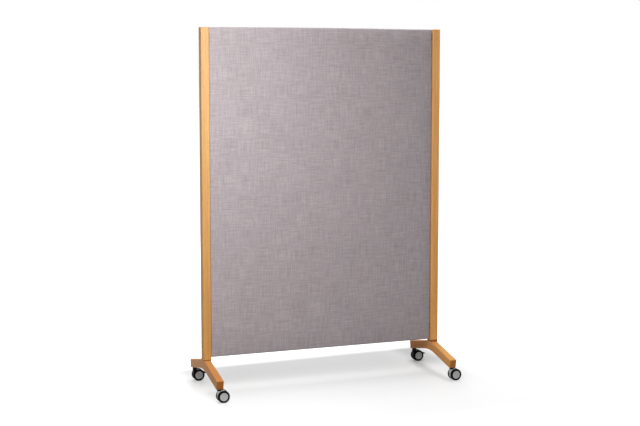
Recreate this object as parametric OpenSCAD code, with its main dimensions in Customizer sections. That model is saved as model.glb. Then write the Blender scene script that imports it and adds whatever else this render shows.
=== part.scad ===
// Rolling partition: a fabric-covered panel between two oak posts. Each post stands on a
// foot with two sloping legs, and each leg ends on a swivelling caster with twin wheels.
// X runs along the panel, Y from front to back, Z up. The origin lies on the floor, in
// the middle of the space that the partition covers with its casters as drawn.

/* [Overall] */
// Height of the posts and of the panel's top edge above the floor
overall_h = 1800; // [1400:10:2100]
// Clear width between the two posts
post_span = 1200; // [800:10:1600]

/* [Posts] */
// Width of a post, across the front of the partition
post_w = 40; // [38:1:60]
// Depth of a post, from front to back
post_d = 44; // [42:1:70]
// Rounding of a post's edges
post_edge_r = 2.5; // [1:0.5:5]

/* [Feet] */
// Thickness of a foot, from side to side
foot_w = 36; // [32:1:38]
// Depth of a leg, square to its slope
leg_depth = 43; // [38:1:50]
// Fall of each leg below the level, in degrees
leg_slope = 12; // [9:0.5:14]
// Distance from the post's middle to the lower corner of a leg's end
foot_reach = 242; // [238:1:300]
// Radius of the arch under a foot
arch_r = 300; // [150:10:400]
// Rounding of a foot's edges
foot_edge_r = 5; // [2:0.5:8]

/* [Panel] */
// Height of the panel's lower edge above the floor
panel_bottom_z = 172; // [165:1:300]
// Thickness of the whole panel
panel_t = 30; // [28:1:40]
// Open joint between the panel and each post
panel_gap = 3; // [2:0.5:8]
// Rounding of the panel's edges
panel_edge_r = 6; // [5:0.5:8]
// Thickness of the fabric cover
fabric_t = 1; // [0.8:0.1:1.5]
// Thickness of the felt padding under the fabric
padding_t = 4; // [3:0.5:6]
// Width of the upright members of the inner frame
stile_w = 45; // [40:1:80]
// Height of the cross members of the inner frame
rail_h = 45; // [40:1:80]

/* [Casters] */
// Height of a caster from the floor to its seat in the leg
caster_h = 72.5; // [70:0.5:90]
// Distance from the lower corner of a leg's end to the swivel axis of its caster
caster_inset = 14; // [13:0.5:24]
// Distance by which the wheels trail behind the swivel axis
trail = 18; // [16:0.5:20]
// Diameter of a wheel over its tyre
wheel_d = 60; // [58:1:62]
// Width of one wheel of a twin pair
wheel_w = 11; // [9:0.5:13]
// Depth of the tyre, from tread to hub
tyre_h = 9; // [7:0.5:10]
// Width of the fork that runs between the twin wheels
fork_w = 19; // [18:0.5:22]
// Radius of the fork's round web about the axle
fork_r = 27.5; // [26:0.5:28]
// Diameter of the stem on which a caster swivels
stem_d = 10; // [8:0.5:12]
// Diameter of the collar under the leg
collar_d = 22; // [20:0.5:23]
// Diameter of the axle
axle_d = 8; // [6:0.5:9]
// Number of pockets round the face of a hub
hub_pockets = 5; // [3:1:6]

/* [Brakes] */
// Width of the brake lever where it lies in the fork
lever_w = 12; // [10:0.5:13]
// Width of the lever's toe tab
tab_w = 18; // [14:0.5:19]
// Reach of the toe tab from the swivel axis
tab_reach = 63; // [60:0.5:66]
// Diameter of the pin on which the lever rocks
lever_pin_d = 3; // [2.5:0.5:4]

/* [Fasteners] */
// Diameter of the bolts that hold the panel to the posts
panel_bolt_d = 6; // [5:0.5:8]
// Diameter of the heads of those bolts
panel_bolt_head_d = 12; // [10:0.5:13]
// Distance from the post's top to the first bolt
bolt_top_drop = 28; // [26:1:60]
// Distance from the panel's lower edge to the first bolt
bolt_bottom_rise = 58; // [50:1:100]
// Distance between the two bolts of a pair
bolt_pitch = 19; // [18:1:40]
// Diameter of the bolt that holds a post on its foot
foot_bolt_d = 8; // [6:0.5:10]
// Diameter of the wooden dowels
dowel_d = 8; // [6:0.5:8]
// Length of the wooden dowels
dowel_l = 40; // [30:1:50]

/* [Hidden] */
$fn = 96;

// Clearances: a running fit, a fixed fit, and the slack round what lies or turns loosely
running_gap = 0.05;
fixed_gap = 0.02;
loose_gap = 0.3;
// How far a cutter reaches past the face that it cuts
over = 1;

// Posts and feet
wheel_r = wheel_d / 2;
stem_r = stem_d / 2;
collar_r = collar_d / 2;
axle_r = axle_d / 2;
post_reach = post_span / 2 + post_w;
caster_reach = post_span / 2 + post_w / 2 + max(trail + wheel_r, tab_reach);
panel_x = -(caster_reach - post_reach) / 2;
left_x = panel_x - (post_span + post_w) / 2;
right_x = panel_x + (post_span + post_w) / 2;
caster_y = foot_reach - caster_inset;
// The caster's seat is spot-faced so deep that it just clears the slope of the leg
seat_r = collar_r + 0.5;
leg_bottom_z = caster_h - (caster_inset + seat_r) * tan(leg_slope);
leg_top_y = foot_reach + leg_depth * sin(leg_slope);
leg_top_z = leg_bottom_z + leg_depth * cos(leg_slope);
foot_top_z = leg_top_z + (leg_top_y - post_d / 2) * tan(leg_slope);
post_h = overall_h - foot_top_z;
// Where the undersides of the two legs would meet, and the axis of the arch that rounds it
underside_z = leg_bottom_z + foot_reach * tan(leg_slope);
arch_axis_z = underside_z - arch_r / cos(leg_slope);
arch_top_z = arch_axis_z + arch_r;
arch_half = arch_r * sin(leg_slope);
arch_end_z = underside_z - arch_half * tan(leg_slope);

// Panel
panel_w = post_span - 2 * panel_gap;
panel_h = overall_h - panel_bottom_z;
frame_t = panel_t - 2 * (fabric_t + padding_t);
frame_inset = fabric_t + loose_gap;
frame_w = panel_w - 2 * frame_inset;
frame_bottom_z = panel_bottom_z + frame_inset;
frame_h = panel_h - 2 * frame_inset;
stile_mid_x = (frame_w - stile_w) / 2;
rail_l = frame_w - 2 * stile_w;
rail_zs = [frame_bottom_z, frame_bottom_z + (frame_h - rail_h) / 2,
           frame_bottom_z + frame_h - rail_h];
core_h = (frame_h - 3 * rail_h) / 2;
rail_dowel_pitch = 24;

// Bolts
panel_bolt_r = panel_bolt_d / 2;
bolt_head_r = panel_bolt_head_d / 2;
bolt_head_h = 3.4;
bolt_head_drop = 0.6;
bolt_key_r = 2.3;
bolt_key_depth = 2;
bolt_zs = [overall_h - bolt_top_drop, overall_h - bolt_top_drop - bolt_pitch,
           panel_bottom_z + bolt_bottom_rise,
           panel_bottom_z + bolt_bottom_rise + bolt_pitch];
insert_wall = 1.5;
spacer_r = 8.5;
foot_bolt_r = foot_bolt_d / 2;
foot_bolt_head_r = foot_bolt_d * 0.8;
foot_bolt_head_h = 5;
foot_bolt_grip_z = arch_top_z + 12;
washer_r = foot_bolt_head_r + 1.6;
washer_t = 1.5;
post_insert_l = 32;
dowel_r = dowel_d / 2;
dowel_y = 14;
dowel_slack = 1;
// The panel's inserts stop short of the dowels that join the frame
insert_end_wall = 2;
panel_insert_l = stile_w - dowel_l / 2 - dowel_slack - insert_end_wall;

// Casters, seen from the swivel axis
socket_wall = 2;
socket_l = 30;
stem_foot_z = 26;
fork_neck_r = fork_w / 2 - 0.1;
fork_block_top_z = wheel_r + fork_r;
fork_top_z = fork_block_top_z + 0.5;
fork_clear_z = 9;
collar_foot_z = fork_top_z + loose_gap;
collar_lip = 1.2;
wheel_side_gap = 0.6;
wheel_in = fork_w / 2 + wheel_side_gap;
wheel_out = wheel_in + wheel_w;
tread_round = 2.8;
hub_r = wheel_r - tyre_h;
hub_face = wheel_out - 0.5;
hub_web_face = hub_face - 1.3;
hub_web_t = 2.6;
hub_ring_r = 14.6;
hub_boss_r = 6.8;
hub_flange_t = 2.6;
hub_sleeve_r = axle_r + 3.4;
axle_end = hub_web_face - 0.7;
pocket_depth = 1.4;
pocket_rib = 16;
// Place of the lever's pin from the swivel axis, and the slot in the fork
lever_pin_x = trail + 17;
lever_pin_z = wheel_r + 15;
lever_pin_r = lever_pin_d / 2;
lever_eye_r = 4.2;
lever_slot_x = trail + 11.5;
lever_slot_z = wheel_r + 1;
lever_slot_gap = 0.4;
tab_root_x = trail + fork_r + 4;
tab_z = wheel_r + 8;
tab_root_h = 7.5;
tab_tip_h = 3;
tab_tip_drop = 3;

wood_light = [0.86, 0.66, 0.42];
wood_pale = [0.87, 0.76, 0.58];
fabric_grey = [0.66, 0.62, 0.62];
felt_white = [0.85, 0.85, 0.83];
core_green = [0.62, 0.66, 0.58];
steel = [0.72, 0.73, 0.75];
brass = [0.78, 0.64, 0.36];
bolt_black = [0.18, 0.16, 0.15];
fork_grey = [0.72, 0.72, 0.70];
fork_black = [0.09, 0.09, 0.10];
hub_grey = [0.66, 0.66, 0.67];
tyre_black = [0.05, 0.05, 0.05];

// ---- Shared shapes ----

// A rectangle centred on the origin, with round corners
module round_rect(w, d, r) {
    square([w - 2 * r, d], center = true);
    square([w, d - 2 * r], center = true);
    for (sx = [-1, 1], sy = [-1, 1])
        translate([sx * (w / 2 - r), sy * (d / 2 - r)]) circle(r);
}

// A block centred on the Z axis that stands on the XY plane, rounded along every edge
module round_block(w, d, h, r) {
    intersection() {
        linear_extrude(h) round_rect(w, d, r);
        translate([0, 0, h / 2]) rotate([90, 0, 0])
            linear_extrude(d, center = true) round_rect(w, h, r);
        translate([0, 0, h / 2]) rotate([90, 0, 90])
            linear_extrude(w, center = true) round_rect(d, h, r);
    }
}

// A round bar along X, from its first end to its second
module bar_x(x0, x1, r) {
    translate([min(x0, x1), 0, 0]) rotate([0, 90, 0]) cylinder(r = r, h = abs(x1 - x0));
}

// A round bar along Y, centred on the XZ plane
module bar_y(l, r) {
    rotate([90, 0, 0]) cylinder(r = r, h = l, center = true);
}

// ---- Posts ----

// The side of a post that faces outwards is at side * post_w / 2
module post(side) {
    difference() {
        translate([0, 0, foot_top_z]) round_block(post_w, post_d, post_h, post_edge_r);
        for (z = bolt_zs) translate([0, 0, z]) {
            bar_x(-side * (post_w / 2 + over), side * (post_w / 2 + over),
                  panel_bolt_r + fixed_gap);
            bar_x(side * (post_w / 2 - bolt_head_drop - bolt_head_h),
                  side * (post_w / 2 + over), bolt_head_r + fixed_gap);
        }
        translate([0, 0, foot_top_z - over])
            cylinder(r = foot_bolt_r + insert_wall + fixed_gap, h = post_insert_l + 2 * over);
        for (sy = [-1, 1]) translate([0, sy * dowel_y, foot_top_z - over])
            cylinder(r = dowel_r + fixed_gap, h = dowel_l / 2 + dowel_slack + over);
    }
}

module left_post() { color(wood_light) translate([left_x, 0, 0]) post(-1); }
module right_post() { color(wood_light) translate([right_x, 0, 0]) post(1); }

// ---- Feet ----

// One leg as a rounded bar, deeper than it will be and running back under the whole post
module leg_bar(s) {
    rough_d = 1.5 * leg_depth;
    back_l = post_d / cos(leg_slope);
    front_l = (leg_top_y - post_d / 2) / cos(leg_slope);
    translate([0, s * post_d / 2, foot_top_z]) rotate([-s * (90 + leg_slope), 0, 0])
        translate([0, s * rough_d / 2, -back_l])
            round_block(foot_w, rough_d, back_l + front_l, foot_edge_r);
}

// What lies under a foot in its side view: two slopes with an arch between them
module under_foot() {
    far_y = foot_reach + over;
    far_z = underside_z - far_y * tan(leg_slope);
    translate([0, arch_axis_z]) circle(arch_r, $fn = 720);
    polygon([
        [-arch_half, arch_end_z], [arch_half, arch_end_z], [far_y, far_z],
        [far_y, 0], [-far_y, 0], [-far_y, far_z]
    ]);
}

module foot() {
    difference() {
        for (s = [-1, 1]) leg_bar(s);
        translate([-foot_w, -post_d, foot_top_z]) cube([2 * foot_w, 2 * post_d, leg_depth]);
        rotate([90, 0, 90]) linear_extrude(2 * foot_w, center = true) under_foot();
        // the bolt into the post, its head's pocket under the arch, and the dowels beside it
        translate([0, 0, arch_top_z - over]) {
            cylinder(r = foot_bolt_r + running_gap, h = post_h);
            cylinder(r = washer_r + running_gap, h = foot_bolt_grip_z - arch_top_z + over);
        }
        for (sy = [-1, 1]) translate([0, sy * dowel_y, foot_top_z - dowel_l / 2 - dowel_slack])
            cylinder(r = dowel_r + fixed_gap, h = dowel_l);
        // the spot-faced seats of the two casters, and their sockets
        for (sy = [-1, 1]) translate([0, sy * caster_y, 0]) {
            cylinder(r = seat_r, h = caster_h);
            cylinder(r = stem_r + socket_wall + fixed_gap, h = caster_h + socket_l + over);
        }
    }
}

module left_foot() { color(wood_light) translate([left_x, 0, 0]) foot(); }
module right_foot() { color(wood_light) translate([right_x, 0, 0]) foot(); }

// ---- Inner frame of the panel ----

// The places of the dowels at the end of each cross member
module at_rail_dowels(side) {
    for (z = rail_zs, up = [-1, 1])
        translate([side * (frame_w / 2 - stile_w), 0, z + rail_h / 2 + up * rail_dowel_pitch / 2])
            children();
}

// The whole frame as a board, with its outer corners rounded to fit the cover's
module frame_board() {
    translate([0, 0, frame_bottom_z + frame_h / 2]) rotate([90, 0, 0])
        linear_extrude(frame_t, center = true)
            round_rect(frame_w, frame_h, panel_edge_r - frame_inset);
}

module stile(side) {
    difference() {
        intersection() {
            frame_board();
            translate([side * stile_mid_x, 0, frame_bottom_z + frame_h / 2])
                cube([stile_w, 2 * frame_t, 2 * frame_h], center = true);
        }
        for (z = bolt_zs) translate([0, 0, z])
            bar_x(side * (frame_w / 2 - panel_insert_l), side * (frame_w / 2 + over),
                  panel_bolt_r + insert_wall + fixed_gap);
        at_rail_dowels(side)
            bar_x(-side * over, side * (dowel_l / 2 + dowel_slack), dowel_r + fixed_gap);
    }
}

module rail(z) {
    difference() {
        translate([0, 0, z + rail_h / 2]) cube([rail_l, frame_t, rail_h], center = true);
        for (side = [-1, 1], up = [-1, 1])
            translate([side * rail_l / 2, 0, z + rail_h / 2 + up * rail_dowel_pitch / 2])
                bar_x(-side * (dowel_l / 2 + dowel_slack), side * over, dowel_r + fixed_gap);
    }
}

module left_stile() { color(wood_pale) translate([panel_x, 0, 0]) stile(-1); }
module right_stile() { color(wood_pale) translate([panel_x, 0, 0]) stile(1); }
module top_rail() { color(wood_pale) translate([panel_x, 0, 0]) rail(rail_zs[2]); }
module middle_rail() { color(wood_pale) translate([panel_x, 0, 0]) rail(rail_zs[1]); }
module bottom_rail() { color(wood_pale) translate([panel_x, 0, 0]) rail(rail_zs[0]); }

module frame_dowels() {
    color(wood_pale) translate([panel_x, 0, 0])
        for (side = [-1, 1]) at_rail_dowels(side)
            bar_x(-dowel_l / 2, dowel_l / 2, dowel_r);
}

// Two sound-absorbing boards, one in each bay of the frame
module acoustic_core() {
    color(core_green) for (z = [rail_zs[0] + rail_h, rail_zs[1] + rail_h])
        translate([panel_x, 0, z + core_h / 2])
            cube([rail_l - 2 * loose_gap, frame_t, core_h - 2 * loose_gap], center = true);
}

// ---- Soft layers of the panel ----

// The panel's outer form, drawn in by the given amount on every side
module panel_form(inset) {
    translate([panel_x, 0, panel_bottom_z + inset])
        round_block(panel_w - 2 * inset, panel_t - 2 * inset, panel_h - 2 * inset,
                    panel_edge_r - inset);
}

// A slab across the whole panel, between two distances from its middle plane
module slab(side, y0, y1) {
    translate([panel_x - panel_w / 2 - over, side > 0 ? y0 : -y1, panel_bottom_z - over])
        cube([panel_w + 2 * over, y1 - y0, panel_h + 2 * over]);
}

module padding(side) {
    intersection() {
        panel_form(fabric_t);
        slab(side, frame_t / 2, frame_t / 2 + padding_t);
    }
}

// Half of the cover: one face with its turned edges, which meet the other half's in a seam
module fabric(side) {
    difference() {
        intersection() {
            panel_form(0);
            slab(side, 0, panel_t / 2 + over);
        }
        panel_form(fabric_t);
        for (z = bolt_zs) translate([panel_x, 0, z])
            bar_x(-panel_w / 2 - over, panel_w / 2 + over, panel_bolt_r + running_gap);
    }
}

module front_padding() { color(felt_white) padding(-1); }
module back_padding() { color(felt_white) padding(1); }
module front_fabric() { color(fabric_grey) fabric(-1); }
module back_fabric() { color(fabric_grey) fabric(1); }

// ---- Fasteners between posts, panel and feet ----

// Each bolt hole, with X running outwards from the post's middle
module at_panel_bolts() {
    for (side = [-1, 1], z = bolt_zs)
        translate([side > 0 ? right_x : left_x, 0, z]) rotate([0, 0, side > 0 ? 0 : 180])
            children();
}

module panel_bolt() {
    head_x = post_w / 2 - bolt_head_drop;
    tip_x = -post_w / 2 - panel_gap - frame_inset - panel_insert_l + over;
    difference() {
        union() {
            bar_x(tip_x, head_x - bolt_head_h / 2, panel_bolt_r);
            bar_x(head_x - bolt_head_h, head_x, bolt_head_r);
        }
        translate([head_x - bolt_key_depth, 0, 0]) rotate([0, 90, 0])
            cylinder(r = bolt_key_r, h = bolt_key_depth + over, $fn = 6);
    }
}

module panel_insert() {
    end_x = -post_w / 2 - panel_gap - frame_inset;
    difference() {
        bar_x(end_x - panel_insert_l, end_x, panel_bolt_r + insert_wall);
        bar_x(end_x - panel_insert_l - over, end_x + over, panel_bolt_r + fixed_gap);
    }
}

// A washer that keeps the open joint between post and panel
module panel_spacer() {
    difference() {
        bar_x(-post_w / 2 - panel_gap, -post_w / 2, spacer_r);
        bar_x(-post_w / 2 - panel_gap - over, -post_w / 2 + over, panel_bolt_r + fixed_gap);
    }
}

module panel_bolts() { color(bolt_black) at_panel_bolts() panel_bolt(); }
module panel_inserts() { color(brass) at_panel_bolts() panel_insert(); }
module panel_spacers() { color(bolt_black) at_panel_bolts() panel_spacer(); }

module at_posts() {
    for (x = [left_x, right_x]) translate([x, 0, 0]) children();
}

module foot_bolt() {
    head_z = foot_bolt_grip_z - washer_t - foot_bolt_head_h;
    difference() {
        translate([0, 0, head_z]) {
            cylinder(r = foot_bolt_head_r, h = foot_bolt_head_h);
            cylinder(r = foot_bolt_r, h = foot_top_z + post_insert_l - over - head_z);
        }
        translate([0, 0, head_z - over])
            cylinder(r = foot_bolt_r * 0.85, h = foot_bolt_head_h / 2 + over, $fn = 6);
    }
}

module foot_bolts() { color(steel) at_posts() foot_bolt(); }

module foot_washers() {
    color(steel) at_posts() translate([0, 0, foot_bolt_grip_z - washer_t]) difference() {
        cylinder(r = washer_r, h = washer_t);
        translate([0, 0, -over]) cylinder(r = foot_bolt_r + fixed_gap, h = washer_t + 2 * over);
    }
}

module post_inserts() {
    color(brass) at_posts() translate([0, 0, foot_top_z]) difference() {
        cylinder(r = foot_bolt_r + insert_wall, h = post_insert_l);
        translate([0, 0, -over])
            cylinder(r = foot_bolt_r + fixed_gap, h = post_insert_l + 2 * over);
    }
}

module foot_dowels() {
    color(wood_pale) at_posts() for (sy = [-1, 1])
        translate([0, sy * dowel_y, foot_top_z - dowel_l / 2]) cylinder(r = dowel_r, h = dowel_l);
}

module caster_sockets() {
    color(brass) at_posts() for (sy = [-1, 1]) translate([0, sy * caster_y, caster_h])
        difference() {
            cylinder(r = stem_r + socket_wall, h = socket_l);
            translate([0, 0, -over]) cylinder(r = stem_r + fixed_gap, h = socket_l + 2 * over);
        }
}

// ---- Casters: the Z axis is the swivel axis, and the wheels trail towards +X ----

module collar() {
    difference() {
        union() {
            translate([0, 0, collar_foot_z + collar_lip])
                cylinder(r = collar_r, h = caster_h - collar_foot_z - collar_lip);
            translate([0, 0, collar_foot_z])
                cylinder(r1 = collar_r - collar_lip, r2 = collar_r, h = collar_lip);
        }
        translate([0, 0, collar_foot_z - over])
            cylinder(r = stem_r + fixed_gap, h = caster_h - collar_foot_z + 2 * over);
    }
}

module stem() {
    tip = 1.5;
    translate([0, 0, stem_foot_z])
        cylinder(r = stem_r, h = caster_h + socket_l - tip - stem_foot_z);
    translate([0, 0, caster_h + socket_l - tip])
        cylinder(r1 = stem_r, r2 = stem_r - tip, h = tip);
}

// The fork's side view: a round web about the axle, and the block round the stem
module fork_outline() {
    difference() {
        union() {
            translate([trail, wheel_r]) circle(fork_r);
            translate([-fork_neck_r, wheel_r]) square([2 * fork_neck_r, fork_r]);
        }
        translate([trail - wheel_d, -over]) square([2 * wheel_d, fork_clear_z + over]);
    }
}

module fork() {
    difference() {
        union() {
            rotate([90, 0, 0]) linear_extrude(fork_w, center = true) fork_outline();
            translate([0, 0, fork_block_top_z - over])
                cylinder(r = fork_neck_r, h = fork_top_z - fork_block_top_z + over);
        }
        translate([0, 0, stem_foot_z - loose_gap])
            cylinder(r = stem_r + running_gap, h = fork_top_z);
        translate([trail, 0, wheel_r]) bar_y(fork_w + 2 * over, axle_r + fixed_gap);
    }
}

// A fork with a slot behind the axle, in which the brake lever rocks on its pin
module braked_fork() {
    slot_w = lever_w + 2 * lever_slot_gap;
    difference() {
        fork();
        translate([lever_slot_x, -slot_w / 2, lever_slot_z])
            cube([wheel_d, slot_w, wheel_d]);
        translate([lever_pin_x, 0, lever_pin_z])
            bar_y(fork_w + 2 * over, lever_pin_r + fixed_gap);
    }
}

module axle() {
    translate([trail, 0, wheel_r]) bar_y(2 * axle_end, axle_r);
}

// Turns the Z axis outwards along the axle, to the front for -1 and to the back for 1
module on_axle(side) {
    translate([trail, 0, wheel_r]) rotate([-90 * side, 0, 0]) children();
}

module tyre(side) {
    on_axle(side) rotate_extrude() {
        translate([hub_r, wheel_in]) square([tyre_h - tread_round, wheel_w]);
        translate([hub_r, wheel_in + tread_round])
            square([tyre_h, wheel_w - 2 * tread_round]);
        for (w = [wheel_in + tread_round, wheel_out - tread_round])
            translate([wheel_r - tread_round, w]) circle(tread_round);
    }
}

// Half of a hub's cross-section: radius against distance from the fork's middle
module hub_section() {
    polygon([
        [axle_r + running_gap, wheel_in], [hub_sleeve_r, wheel_in],
        [hub_sleeve_r, hub_web_face - hub_web_t],
        [hub_r - hub_flange_t, hub_web_face - hub_web_t], [hub_r - hub_flange_t, wheel_in],
        [hub_r - fixed_gap, wheel_in], [hub_r - fixed_gap, hub_face],
        [hub_ring_r, hub_face], [hub_ring_r - 1, hub_web_face],
        [hub_boss_r + 0.8, hub_web_face], [hub_boss_r, hub_face - 0.2],
        [0, hub_face - 0.2], [0, axle_end + loose_gap],
        [axle_r + running_gap, axle_end + loose_gap]
    ]);
}

module hub(side) {
    pocket_angle = 360 / hub_pockets - pocket_rib * 2;
    on_axle(side) difference() {
        rotate_extrude() hub_section();
        for (i = [0:hub_pockets - 1]) rotate([0, 0, i * 360 / hub_pockets])
            rotate_extrude(angle = pocket_angle)
                translate([hub_boss_r + 1.8, hub_web_face - pocket_depth])
                    square([hub_ring_r - hub_boss_r - 4, pocket_depth + over]);
    }
}

module lever_pin() {
    translate([lever_pin_x, 0, lever_pin_z]) bar_y(fork_w, lever_pin_r);
}

// The arm of the brake lever in its side view, from the eye to the root of the tab
module lever_outline() {
    translate([lever_pin_x, lever_pin_z]) circle(lever_eye_r);
    polygon([
        [lever_pin_x - lever_eye_r + 1, lever_pin_z - 1.5],
        [lever_pin_x + 1, lever_pin_z + lever_eye_r - 0.2],
        [tab_root_x + 2, tab_z + tab_root_h / 2], [tab_root_x + 2, tab_z - tab_root_h / 2 + 1],
        [lever_pin_x + 1, lever_pin_z - lever_eye_r + 0.2]
    ]);
}

module brake_lever() {
    difference() {
        union() {
            rotate([90, 0, 0]) linear_extrude(lever_w, center = true) lever_outline();
            rotate([90, 0, 0]) linear_extrude(tab_w, center = true) polygon([
                [tab_root_x, tab_z - tab_root_h / 2], [tab_root_x, tab_z + tab_root_h / 2],
                [tab_reach, tab_z + tab_root_h / 2 - tab_tip_drop],
                [tab_reach, tab_z + tab_root_h / 2 - tab_tip_drop - tab_tip_h]
            ]);
        }
        translate([lever_pin_x, 0, lever_pin_z])
            bar_y(lever_w + 2 * over, lever_pin_r + running_gap);
    }
}

module at_front_left() { translate([left_x, -caster_y, 0]) children(); }
module at_front_right() { translate([right_x, -caster_y, 0]) children(); }
module at_rear_left() { translate([left_x, caster_y, 0]) children(); }
module at_rear_right() { translate([right_x, caster_y, 0]) children(); }

module front_left_collar() { color(fork_black) at_front_left() collar(); }
module front_left_stem() { color(steel) at_front_left() stem(); }
module front_left_fork() { color(fork_grey) at_front_left() fork(); }
module front_left_axle() { color(steel) at_front_left() axle(); }
module front_left_fore_hub() { color(hub_grey) at_front_left() hub(-1); }
module front_left_aft_hub() { color(hub_grey) at_front_left() hub(1); }
module front_left_fore_tyre() { color(tyre_black) at_front_left() tyre(-1); }
module front_left_aft_tyre() { color(tyre_black) at_front_left() tyre(1); }

module front_right_collar() { color(fork_black) at_front_right() collar(); }
module front_right_stem() { color(steel) at_front_right() stem(); }
module front_right_fork() { color(fork_grey) at_front_right() fork(); }
module front_right_axle() { color(steel) at_front_right() axle(); }
module front_right_fore_hub() { color(hub_grey) at_front_right() hub(-1); }
module front_right_aft_hub() { color(hub_grey) at_front_right() hub(1); }
module front_right_fore_tyre() { color(tyre_black) at_front_right() tyre(-1); }
module front_right_aft_tyre() { color(tyre_black) at_front_right() tyre(1); }

module rear_left_collar() { color(fork_black) at_rear_left() collar(); }
module rear_left_stem() { color(steel) at_rear_left() stem(); }
module rear_left_fork() { color(fork_black) at_rear_left() braked_fork(); }
module rear_left_axle() { color(steel) at_rear_left() axle(); }
module rear_left_fore_hub() { color(hub_grey) at_rear_left() hub(-1); }
module rear_left_aft_hub() { color(hub_grey) at_rear_left() hub(1); }
module rear_left_fore_tyre() { color(tyre_black) at_rear_left() tyre(-1); }
module rear_left_aft_tyre() { color(tyre_black) at_rear_left() tyre(1); }
module rear_left_brake_lever() { color(fork_black) at_rear_left() brake_lever(); }
module rear_left_lever_pin() { color(steel) at_rear_left() lever_pin(); }

module rear_right_collar() { color(fork_black) at_rear_right() collar(); }
module rear_right_stem() { color(steel) at_rear_right() stem(); }
module rear_right_fork() { color(fork_black) at_rear_right() braked_fork(); }
module rear_right_axle() { color(steel) at_rear_right() axle(); }
module rear_right_fore_hub() { color(hub_grey) at_rear_right() hub(-1); }
module rear_right_aft_hub() { color(hub_grey) at_rear_right() hub(1); }
module rear_right_fore_tyre() { color(tyre_black) at_rear_right() tyre(-1); }
module rear_right_aft_tyre() { color(tyre_black) at_rear_right() tyre(1); }
module rear_right_brake_lever() { color(fork_black) at_rear_right() brake_lever(); }
module rear_right_lever_pin() { color(steel) at_rear_right() lever_pin(); }

// ---- What is drawn ----

left_post();
right_post();
left_foot();
right_foot();
left_stile();
right_stile();
top_rail();
middle_rail();
bottom_rail();
frame_dowels();
acoustic_core();
front_padding();
back_padding();
front_fabric();
back_fabric();
panel_bolts();
panel_inserts();
panel_spacers();
foot_bolts();
foot_washers();
post_inserts();
foot_dowels();
caster_sockets();
front_left_collar();
front_left_stem();
front_left_fork();
front_left_axle();
front_left_fore_hub();
front_left_aft_hub();
front_left_fore_tyre();
front_left_aft_tyre();
front_right_collar();
front_right_stem();
front_right_fork();
front_right_axle();
front_right_fore_hub();
front_right_aft_hub();
front_right_fore_tyre();
front_right_aft_tyre();
rear_left_collar();
rear_left_stem();
rear_left_fork();
rear_left_axle();
rear_left_fore_hub();
rear_left_aft_hub();
rear_left_fore_tyre();
rear_left_aft_tyre();
rear_left_brake_lever();
rear_left_lever_pin();
rear_right_collar();
rear_right_stem();
rear_right_fork();
rear_right_axle();
rear_right_fore_hub();
rear_right_aft_hub();
rear_right_fore_tyre();
rear_right_aft_tyre();
rear_right_brake_lever();
rear_right_lever_pin();
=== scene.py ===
"""Rolling partition: a cloth-covered panel between two oak posts, on feet with twin-wheel casters."""

import math

import bmesh
import bpy
from mathutils import Matrix, Vector, noise


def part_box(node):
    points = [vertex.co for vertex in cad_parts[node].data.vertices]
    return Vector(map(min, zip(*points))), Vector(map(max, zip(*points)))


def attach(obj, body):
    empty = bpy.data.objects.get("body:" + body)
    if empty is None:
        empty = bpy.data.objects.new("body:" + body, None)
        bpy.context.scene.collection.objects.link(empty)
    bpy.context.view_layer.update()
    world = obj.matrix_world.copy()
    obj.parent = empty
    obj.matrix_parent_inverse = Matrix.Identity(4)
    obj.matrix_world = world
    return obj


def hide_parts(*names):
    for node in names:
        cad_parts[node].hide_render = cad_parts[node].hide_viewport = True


bl_info = {
    "name": "Rolling Partition",
    "version": (1, 0, 0),
    "blender": (4, 5, 0),
    "location": "3D View > Sidebar > Partition",
    "description": "Dresses the rolling partition: cloth cover, felt, oak, casters, floor and light",
    "category": "Object",
}

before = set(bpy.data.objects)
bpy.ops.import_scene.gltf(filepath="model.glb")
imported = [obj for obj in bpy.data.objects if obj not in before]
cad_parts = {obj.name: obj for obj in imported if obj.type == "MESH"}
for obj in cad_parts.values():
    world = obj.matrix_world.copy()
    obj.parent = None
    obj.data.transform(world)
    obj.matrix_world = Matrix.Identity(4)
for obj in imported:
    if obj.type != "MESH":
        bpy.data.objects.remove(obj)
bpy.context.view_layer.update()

MM = 0.001
SIDES = {"front": -1, "back": 1}
CASTERS = ("front_left", "front_right", "rear_left", "rear_right")
WHEELS = {"fore": -1, "aft": 1}


# ---- Settings that a user would change ----

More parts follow.
